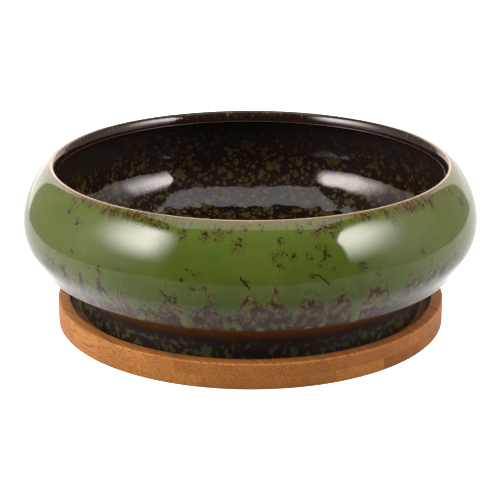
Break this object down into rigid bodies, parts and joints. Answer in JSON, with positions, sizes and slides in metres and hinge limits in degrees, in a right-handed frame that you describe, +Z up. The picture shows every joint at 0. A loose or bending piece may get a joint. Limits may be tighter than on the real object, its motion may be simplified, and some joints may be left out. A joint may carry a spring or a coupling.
{
  "type": "succulent pot with saucer",
  "caption": "Wide shallow glazed ceramic bowl with a rolled-in rim and a drain hole, standing in the round recess of a laminated bamboo saucer it lifts out of.",
  "frame": {"origin": "centre of the saucer's underside", "axes": "+Z up along the turning axis of bowl and saucer; the pictured view looks along +Y, with +X to the right"},
  "size_m": [0.1848, 0.1848, 0.0666],
  "materials": {
    "moss_glaze": "glossy moss-green reactive glaze over dark brown stoneware",
    "bamboo": "satin-oiled carbonised bamboo"
  },
  "bodies": {
    "saucer": {"lower_slat_1": "bamboo", "lower_slat_2": "bamboo", "lower_slat_3": "bamboo", "lower_slat_4": "bamboo", "lower_slat_5": "bamboo", "lower_slat_6": "bamboo", "lower_slat_7": "bamboo", "lower_slat_8": "bamboo", "upper_slat_1": "bamboo", "upper_slat_2": "bamboo", "upper_slat_3": "bamboo", "upper_slat_4": "bamboo", "upper_slat_5": "bamboo", "upper_slat_6": "bamboo", "upper_slat_7": "bamboo", "upper_slat_8": "bamboo"},
    "pot": {"glazed_bowl": "moss_glaze"}
  },
  "joints": [
    {"name": "pot_lift", "type": "slide", "parent": "saucer", "child": "pot", "axis": [0, 0, 1], "range_m": [0, 0.03]}
  ]
}
